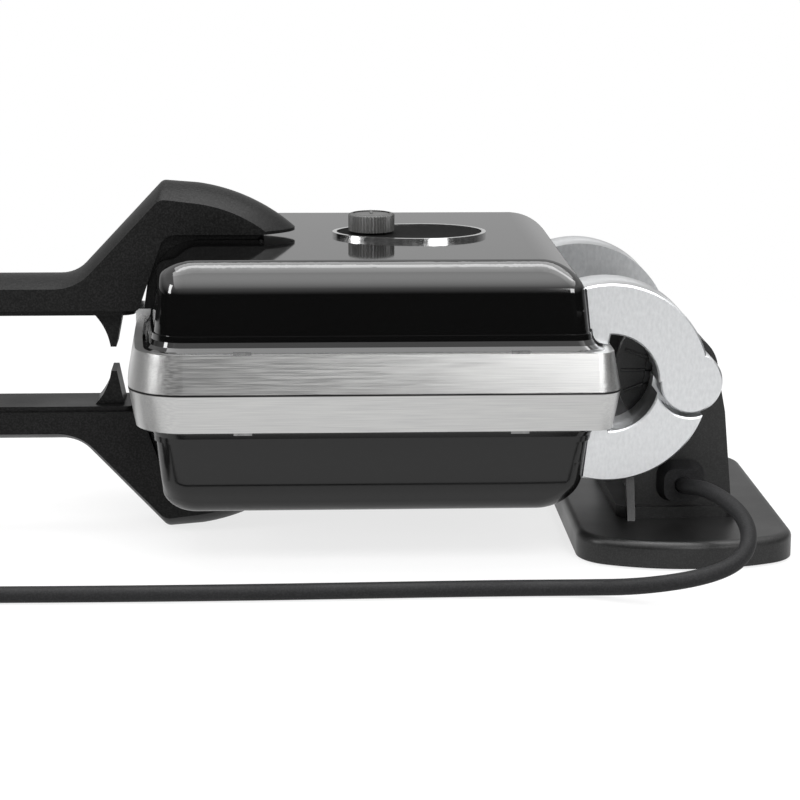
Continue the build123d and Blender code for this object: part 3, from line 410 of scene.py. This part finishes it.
def brushed_metal(name, dark, light, smooth, rough, brushing, relief, seam=False):
    """Satin metal with fine brush strokes, clouded by a broader unevenness."""
    material, nodes, links, shader, place = new_material(name)
    noise = add_noise(nodes, links, place, 1.0, STROKE_DETAIL, brushing)
    strokes = to_range(nodes, links, noise, 0, 1, STROKE_RANGE)
    tone = to_colours(nodes, links, strokes, dark, light)
    if seam:
        tone = shade_seam(nodes, links, place, tone)
    links.new(tone, shader.inputs["Base Color"])
    clouded = nodes.new("ShaderNodeMath")
    clouded.operation = "MULTIPLY_ADD"
    clouded.inputs[1].default_value = CLOUD_SHARE
    links.new(add_noise(nodes, links, place, CLOUD_SCALE, CLOUD_DETAIL), clouded.inputs[0])
    links.new(strokes, clouded.inputs[2])
    roughness = to_range(nodes, links, clouded.outputs[0], smooth, rough, CLOUDED_RANGE)
    links.new(roughness, shader.inputs["Roughness"])
    shader.inputs["Metallic"].default_value = 1.0
    shader.inputs["Anisotropic"].default_value = BRUSHED_ANISOTROPY
    add_relief(nodes, links, shader, strokes, STROKE_RELIEF, relief)
    return material


def round_shoulder(nodes, links, place, bump):
    """Relief that rolls the long edges of a shell over more softly than their fillet alone."""
    reach = reach_from_parting(nodes, links, place)
    shoulder = ((SHELL_TOP - SHOULDER_START) * MM, (SHELL_TOP + SHOULDER_END) * MM)
    fall = to_range(nodes, links, reach, 0, -SHOULDER_DEPTH * MM, shoulder, "SMOOTHERSTEP")
    # The fall is in metres already, so the relief is as deep as it says
    roll = nodes.new("ShaderNodeBump")
    roll.inputs["Distance"].default_value = 1
    links.new(fall, roll.inputs["Height"])
    links.new(roll.outputs["Normal"], bump.inputs["Normal"])


def gloss_enamel(name, colour, roughness, wave, gloss):
    """Deep gloss coating: near black, with a faint flow in its surface."""
    material, nodes, links, shader, place = new_material(name)
    flow = add_noise(nodes, links, place, FLOW_SCALE, FLOW_DETAIL)
    specks = add_noise(nodes, links, place, SPECK_SCALE, SPECK_DETAIL)
    lighter = tuple(channel * SPECK_LIGHTER for channel in colour)
    links.new(to_colours(nodes, links, specks, colour, lighter), shader.inputs["Base Color"])
    uneven = to_range(nodes, links, flow, roughness, roughness * FLOW_ROUGHER)
    links.new(uneven, shader.inputs["Roughness"])
    shader.inputs["IOR"].default_value = gloss
    bump = add_relief(nodes, links, shader, flow, FLOW_RELIEF, wave)
    round_shoulder(nodes, links, place, bump)
    return material


def moulded_plastic(name, colour, smooth, rough, grain, relief, shine=0.5, speckle=0.004):
    """Moulded plastic or rubber with a fine spark-eroded grain."""
    material, nodes, links, shader, place = new_material(name)
    fine = add_noise(nodes, links, place, grain, GRAIN_DETAIL)
    patches = add_noise(nodes, links, place, PATCH_SCALE, PATCH_DETAIL)
    lighter = tuple(channel * GRAIN_LIGHTER + speckle for channel in colour)
    specks = to_range(nodes, links, fine, 0, 1, GRAIN_RANGE)
    links.new(to_colours(nodes, links, specks, colour, lighter), shader.inputs["Base Color"])
    uneven = to_range(nodes, links, patches, smooth, rough)
    links.new(uneven, shader.inputs["Roughness"])
    shader.inputs["Specular IOR Level"].default_value = shine
    add_relief(nodes, links, shader, fine, GRAIN_RELIEF, relief)
    return material


def metal_finishes():
    """Cast frames, hinge arms, plated fittings, wire clips and bright rims."""
    return {
        "frame": brushed_metal(
            "cast_frame", dark=grey(0.46), light=(0.575, 0.575, 0.565),
            smooth=0.28, rough=0.36, brushing=FRAME_BRUSHING, relief=0.01, seam=True),
        "arm": brushed_metal(
            "hinge_arm", dark=(0.63, 0.64, 0.65), light=(0.74, 0.75, 0.76),
            smooth=0.32, rough=0.35, brushing=ARM_BRUSHING, relief=0.002),
        "steel": brushed_metal(
            "plated_steel", dark=grey(0.5), light=grey(0.7),
            smooth=0.2, rough=0.35, brushing=STEEL_BRUSHING, relief=0.02),
        "clip": brushed_metal(
            "clip_wire", dark=grey(0.16), light=grey(0.3),
            smooth=0.25, rough=0.35, brushing=STEEL_BRUSHING, relief=0.02),
        "bright": brushed_metal(
            "bright_rim", dark=grey(0.7), light=grey(0.85),
            smooth=0.12, rough=0.2, brushing=BRIGHT_BRUSHING, relief=0.01),
    }


def shell_finishes():
    """Gloss on the upper shell, and a duller coat on the lower one."""
    return {
        "shell": gloss_enamel("gloss_shell", grey(0.002), roughness=0.05, wave=0.2, gloss=1.75),
        "lower_shell": gloss_enamel(
            "satin_shell", grey(0.003), roughness=0.12, wave=0.2, gloss=1.45),
    }


def moulded_finishes():
    """Everything moulded, coated or of rubber."""
    return {
        "coating": moulded_plastic(
            "plate_coating", grey(0.03), smooth=0.35, rough=0.5, grain=1500, relief=0.03),
        "handle": moulded_plastic(
            "handle_plastic", grey(0.004), smooth=0.34, rough=0.46, grain=1100, relief=0.1,
            shine=0.14, speckle=0.007),
        "stand": moulded_plastic(
            "stand_plastic", grey(0.006), smooth=0.3, rough=0.42, grain=1300, relief=0.06,
            shine=0.4, speckle=0.006),
        "knob": moulded_plastic(
            "knob_plastic", (0.05, 0.05, 0.049), smooth=0.28, rough=0.4, grain=1600, relief=0.02),
        "rubber": moulded_plastic(
            "lead_rubber", (0.008, 0.008, 0.0085), smooth=0.5, rough=0.65, grain=1200,
            relief=0.04, shine=0.2),
        "label": moulded_plastic(
            "label_face", grey(0.002), smooth=0.7, rough=0.8, grain=1500, relief=0.01, shine=0.05),
        "pale": moulded_plastic(
            "natural_plastic", (0.5, 0.5, 0.48), smooth=0.4, rough=0.5, grain=1000, relief=0.02),
    }


def make_finishes():
    """Every finish of the cooker by name."""
    return {**metal_finishes(), **shell_finishes(), **moulded_finishes()}


def dress(piece, material):
    """Gives a piece one material."""
    piece.data.materials.clear()
    piece.data.materials.append(material)


def dress_frame(finishes):
    """Gives every carried-over piece its finish, by its full name or by the one both halves share."""
    finish_of = {name: finish for finish, names in PIECES_OF_FINISH.items() for name in names}
    for name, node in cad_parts.items():
        shared = name.removeprefix("upper_").removeprefix("lower_")
        finish = finish_of.get(name, finish_of.get(shared))
        if finish:
            dress(node, finishes[finish])


def select_only(pieces, active):
    """Selects these pieces and no other, with one of them active."""
    bpy.ops.object.select_all(action="DESELECT")
    for piece in pieces:
        piece.select_set(True)
    bpy.context.view_layer.objects.active = active


def select_faces(piece, wanted):
    """Enters edit mode with only the faces selected that a test picks."""
    bpy.context.view_layer.objects.active = piece
    bpy.ops.object.mode_set(mode="EDIT")
    bpy.ops.mesh.select_mode(type="FACE")
    bpy.ops.mesh.select_all(action="DESELECT")
    mesh = bmesh.from_edit_mesh(piece.data)
    for face in mesh.faces:
        face.select = wanted(face)
    bmesh.update_edit_mesh(piece.data)


def settle(piece):
    """Leaves edit mode and puts the piece's place into its mesh."""
    bpy.ops.object.mode_set(mode="OBJECT")
    select_only([piece], piece)
    bpy.ops.object.transform_apply(location=True, rotation=True, scale=True)
    bpy.ops.object.shade_smooth_by_angle(angle=math.radians(SMOOTH_ANGLE))


def bevel_finely():
    """Breaks the edges of the selected faces, as a mould does."""
    bpy.ops.mesh.bevel(offset=FINE_EDGE_R * MM, segments=FINE_EDGE_STEPS)


def cut_flutes(knob):
    """Draws every second corner of the knob's rims inwards, and leaves edit mode open."""
    bpy.ops.object.mode_set(mode="EDIT")
    bpy.ops.mesh.select_mode(type="VERT")
    bpy.ops.mesh.select_all(action="DESELECT")
    mesh = bmesh.from_edit_mesh(knob.data)
    step = math.pi / KNOB_FLUTES
    for corner in mesh.verts:
        turn = round(math.atan2(corner.co.y, corner.co.x) / step)
        corner.select = turn % 2 == 1
    mesh.select_flush_mode()
    bmesh.update_edit_mesh(knob.data)
    bpy.ops.transform.resize(value=(KNOB_FLUTE_DEPTH, KNOB_FLUTE_DEPTH, 1))


def knob_body(place):
    """Fluted cylinder with a rounded top edge and a slightly dished face."""
    bpy.ops.object.select_all(action="DESELECT")
    bpy.ops.mesh.primitive_cylinder_add(
        vertices=2 * KNOB_FLUTES, radius=KNOB_R * MM, depth=KNOB_HEIGHT * MM, location=place)
    knob = bpy.context.object
    knob.name = "fluted_knob"
    cut_flutes(knob)
    select_faces(knob, lambda face: face.normal.z > FACING)
    bpy.ops.mesh.bevel(offset=KNOB_EDGE_R * MM, segments=KNOB_EDGE_STEPS)
    select_faces(knob, lambda face: face.normal.z > FACING_STRAIGHTER)
    bpy.ops.mesh.inset(thickness=KNOB_RIM * MM)
    bpy.ops.transform.translate(value=(0, 0, -KNOB_DISH * MM))
    settle(knob)
    return knob


def knob_pointer(place):
    """Raised bar on the knob's face."""
    bpy.ops.object.select_all(action="DESELECT")
    bpy.ops.mesh.primitive_cube_add(
        size=1, location=place,
        scale=(POINTER_WIDTH * MM, POINTER_LENGTH * MM, POINTER_HEIGHT * MM))
    pointer = bpy.context.object
    select_faces(pointer, lambda face: face.normal.z > FACING)
    bevel_finely()
    settle(pointer)
    return pointer


def add_knob(finishes):
    """Temperature knob with its pointer, in the place of the frame's plainer one."""
    low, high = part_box("knob")
    centre = (low + high) / 2
    knob = knob_body((centre.x, centre.y, low.z + KNOB_HEIGHT * MM / 2))
    top = low.z + (KNOB_HEIGHT - POINTER_SINK) * MM
    pointer = knob_pointer((centre.x, centre.y + POINTER_MIDDLE * MM, top))
    select_only([knob, pointer], knob)
    bpy.ops.object.join()
    dress(knob, finishes["knob"])
    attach(knob, "knob")
    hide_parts("knob")


def add_heat_guard(name, body, side, finishes):
    """Black web that closes the gap between a handle's heel and the rolled end of its shell."""
    outline = bpy.data.curves.new(name, "CURVE")
    outline.dimensions = "2D"
    outline.fill_mode = "BOTH"
    outline.extrude = GUARD_HALF_WIDTH * MM
    outline.bevel_depth = GUARD_EDGE_R * MM
    spline = outline.splines.new("POLY")
    spline.points.add(len(GUARD_OUTLINE) - 1)
    for point, (x, reach) in zip(spline.points, GUARD_OUTLINE):
        point.co = (x * MM, side * reach * MM, 0, 1)
    spline.use_cyclic_u = True
    guard = bpy.data.objects.new(name, outline)
    bpy.context.scene.collection.objects.link(guard)
    guard.rotation_euler = (math.radians(90), 0, 0)
    guard.location = (0, 0, PIN_Z * MM)
    select_only([guard], guard)
    bpy.ops.object.convert(target="MESH")
    guard = bpy.context.object
    bpy.ops.object.transform_apply(location=True, rotation=True, scale=True)
    dress(guard, finishes["handle"])
    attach(guard, body)


def shade_fan_disc(name, side):
    """Dark dished disc on the pin, cut to the fan that shows inside the hooked arms, standing in for
    the shade there.
    """
    bpy.ops.object.select_all(action="DESELECT")
    middle = side * (SHADE_FAN_FACE - SHADE_FAN_THICKNESS / 2)
    bpy.ops.mesh.primitive_cylinder_add(
        vertices=SHADE_FAN_STEPS, radius=SHADE_FAN_R * MM, depth=SHADE_FAN_THICKNESS * MM,
        location=(0, middle * MM, PIN_Z * MM), rotation=(math.radians(90 * side), 0, 0))
    fan_piece = bpy.context.object
    fan_piece.name = name
    select_faces(fan_piece, lambda face: face.normal.z < -FACING)
    bpy.ops.mesh.inset(thickness=SHADE_FAN_RIM * MM)
    bpy.ops.mesh.extrude_region_move(
        TRANSFORM_OT_translate={"value": (0, -side * SHADE_FAN_DISH * MM, 0)})
    settle(fan_piece)
    cuts = (
        ((-SHADE_FAN_START, 0, 0), (1, 0, 0)),
        ((0, 0, PIN_Z + SHADE_FAN_UP), (0, 0, 1)),
        ((0, 0, PIN_Z - SHADE_FAN_DOWN), (0, 0, -1)),
    )
    bpy.ops.object.mode_set(mode="EDIT")
    for place, outwards in cuts:
        bpy.ops.mesh.select_all(action="SELECT")
        bpy.ops.mesh.bisect(
            plane_co=Vector(place) * MM, plane_no=outwards, use_fill=True, clear_outer=True)
    settle(fan_piece)
    return fan_piece


def shade_fan_rib(side, angle):
    """Radial rib in the dish of a dark fan that stands in for shade."""
    turn = math.radians(angle)
    dish_r = SHADE_FAN_R - SHADE_FAN_RIM
    middle = dish_r * SHADE_FAN_RIB_MIDDLE_SHARE
    across = SHADE_FAN_FACE - SHADE_FAN_DISH * SHADE_FAN_RIB_RISE_SHARE
    bpy.ops.object.select_all(action="DESELECT")
    bpy.ops.mesh.primitive_cube_add(
        size=1,
        location=(middle * math.cos(turn) * MM, side * across * MM,
                  (PIN_Z + middle * math.sin(turn)) * MM),
        rotation=(0, -turn, 0),
        scale=(dish_r * SHADE_FAN_RIB_LENGTH_SHARE * MM, SHADE_FAN_DISH * MM, SHADE_FAN_RIB_WIDTH * MM),
    )
    rib = bpy.context.object
    select_faces(rib, lambda face: face.normal.y * side > FACING)
    bevel_finely()
    settle(rib)
    return rib


def add_shade_fan(name, side, finishes):
    """Black ribbed fan at one end of the pedestal's barrel, inside the hooked arms: a dark piece
    standing in for the shade there.
    """
    fan_piece = shade_fan_disc(name, side)
    ribs = [shade_fan_rib(side, angle) for angle in SHADE_FAN_RIB_ANGLES]
    select_only([*ribs, fan_piece], fan_piece)
    bpy.ops.object.join()
    dress(fan_piece, finishes["stand"])
    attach(fan_piece, "stand")


def fade(nodes, links, place, centre, reach):
    """0 within a distance of a point and 1 past a greater one, on object coordinates."""
    mapping = nodes.new("ShaderNodeMapping")
    mapping.inputs["Location"].default_value = [-value for value in centre]
    links.new(place, mapping.inputs["Vector"])
    length = nodes.new("ShaderNodeVectorMath")
    length.operation = "LENGTH"
    links.new(mapping.outputs["Vector"], length.inputs[0])
    return to_range(nodes, links, length.outputs["Value"], 0, 1, reach)


def plain_glow(nodes, strength):
    """Even white light from a surface."""
    glow = nodes.new("ShaderNodeEmission")
    glow.inputs["Color"].default_value = (1, 1, 1, 1)
    glow.inputs["Strength"].default_value = strength
    return glow.outputs[0]


def choose_shader(nodes, links, factor, first, second):
    """One shader where the factor is 0 and another where it is 1."""
    choose = nodes.new("ShaderNodeMixShader")
    links.new(factor, choose.inputs[0])
    links.new(first, choose.inputs[1])
    links.new(second, choose.inputs[2])
    return choose.outputs[0]


def dim(nodes, links, shader, share):
    """A shader weakened by a share."""
    weaker = nodes.new("ShaderNodeMixShader")
    weaker.inputs[0].default_value = share
    links.new(shader, weaker.inputs[1])
    return weaker.outputs[0]


def add_floor():
    """White worktop with a soft shadow: pure white further off, and a dark room in reflections."""
    bpy.ops.mesh.primitive_plane_add(size=FLOOR_SIZE, location=(0, 0, 0))
    floor = bpy.context.object
    floor.name = "floor"
    material, nodes, links, shader, place = new_material("worktop")
    shader.inputs["Base Color"].default_value = (*grey(FLOOR_COLOUR), 1)
    shader.inputs["Roughness"].default_value = FLOOR_ROUGHNESS
    shader.inputs["Specular IOR Level"].default_value = 0
    glowing = nodes.new("ShaderNodeAddShader")
    links.new(shader.outputs[0], glowing.inputs[0])
    links.new(plain_glow(nodes, FLOOR_GLOW), glowing.inputs[1])
    worktop = glowing.outputs[0]
    white = fade(nodes, links, place, SHADOW_MIDDLE, SHADOW_REACH)
    seen = choose_shader(nodes, links, white, worktop, plain_glow(nodes, 1.0))
    room = fade(nodes, links, place, ROOM_MIDDLE, ROOM_REACH)
    roomed = choose_shader(nodes, links, room, worktop, plain_glow(nodes, ROOM_GLOW))
    mirrored = dim(nodes, links, roomed, FLOOR_DIMMING)
    path = nodes.new("ShaderNodeLightPath")
    unseen = choose_shader(nodes, links, path.outputs["Is Glossy Ray"], worktop, mirrored)
    final = choose_shader(nodes, links, path.outputs["Is Camera Ray"], unseen, seen)
    links.new(final, nodes["Material Output"].inputs["Surface"])
    dress(floor, material)


def add_world():
    """White to the camera, and otherwise a room that is bright behind and above and dark in front."""
    world = bpy.data.worlds.new("studio")
    bpy.context.scene.world = world
    world.use_nodes = True
    nodes = world.node_tree.nodes
    links = world.node_tree.links
    background = nodes["Background"]
    coordinates = nodes.new("ShaderNodeTexCoord")
    split = nodes.new("ShaderNodeSeparateXYZ")
    links.new(coordinates.outputs["Generated"], split.inputs[0])
    back = to_range(nodes, links, split.outputs["Y"], 0, WORLD_BACK, WORLD_BACK_RISE)
    above = to_range(nodes, links, split.outputs["Z"], WORLD_FRONT, WORLD_TOP, WORLD_TOP_RISE)
    brighter = nodes.new("ShaderNodeMath")
    brighter.operation = "MAXIMUM"
    links.new(back, brighter.inputs[0])
    links.new(above, brighter.inputs[1])
    path = nodes.new("ShaderNodeLightPath")
    strength = nodes.new("ShaderNodeMix")
    links.new(path.outputs["Is Camera Ray"], strength.inputs["Factor"])
    links.new(brighter.outputs[0], strength.inputs["A"])
    strength.inputs["B"].default_value = 1.0
    background.inputs["Color"].default_value = (1, 1, 1, 1)
    links.new(strength.outputs["Result"], background.inputs["Strength"])


def add_area_lamp(name, place, target, size, power):
    """Soft rectangular lamp aimed at a point."""
    lamp = bpy.data.lights.new(name, "AREA")
    lamp.shape = "RECTANGLE"
    lamp.size, lamp.size_y = size
    lamp.energy = power
    holder = bpy.data.objects.new(name, lamp)
    bpy.context.scene.collection.objects.link(holder)
    holder.location = place
    aim = Vector(target) - Vector(place)
    holder.rotation_euler = aim.to_track_quat("-Z", "Y").to_euler()
    return holder


def fade_card(holder):
    """Makes a lamp grow brighter from one long edge to the other."""
    lamp = holder.data
    lamp.use_nodes = True
    nodes = lamp.node_tree.nodes
    links = lamp.node_tree.links
    place = nodes.new("ShaderNodeNewGeometry")
    split = nodes.new("ShaderNodeSeparateXYZ")
    links.new(place.outputs["Parametric"], split.inputs[0])
    links.new(split.outputs["Y"], nodes["Emission"].inputs["Strength"])


def add_lamps():
    """Soft light from above, and cards that draw the bright bands on the shells and arms."""
    add_area_lamp("overhead", place=(-0.15, 0.1, 1.1), target=(-0.15, 0, 0.1),
                  size=(1.2, 0.7), power=8)
    # Seen in reflections only: the band along the upper shell's shoulder
    front_card = add_area_lamp("front_card", place=(-0.15, -0.62, 1.2), target=(-0.15, 0, 0.12),
                               size=(2.2, 1.6), power=52)
    front_card.visible_diffuse = False
    fade_card(front_card)
    # Lights the front without a reflection of its own
    front_strip = add_area_lamp("front_strip", place=(-0.15, -0.85, 1.0), target=(-0.15, 0, 0.12),
                                size=(1.5, 0.5), power=8)
    front_strip.visible_glossy = False
    add_area_lamp("left_strip", place=(-1.3, -0.5, 0.55), target=(-0.25, 0, 0.1),
                  size=(0.25, 0.6), power=5)
    add_area_lamp("right_card", place=(0.38, -1.15, 0.46), target=(-0.05, 0, 0.12),
                  size=(0.6, 0.3), power=4.5)


add_camera()
lead = add_lead()
finishes = make_finishes()
dress_frame(finishes)
dress(lead, finishes["rubber"])
add_knob(finishes)
add_heat_guard("upper_heat_guard", "lid", 1, finishes)
add_heat_guard("lower_heat_guard", "lower_half", -1, finishes)
# Dark fans inside the hooked arms: dark pieces standing in for the shade there
add_shade_fan("shade_fan_near", -1, finishes)
add_shade_fan("shade_fan_far", 1, finishes)
add_floor()
add_world()
add_lamps()
bpy.context.scene.view_settings.view_transform = "Standard"
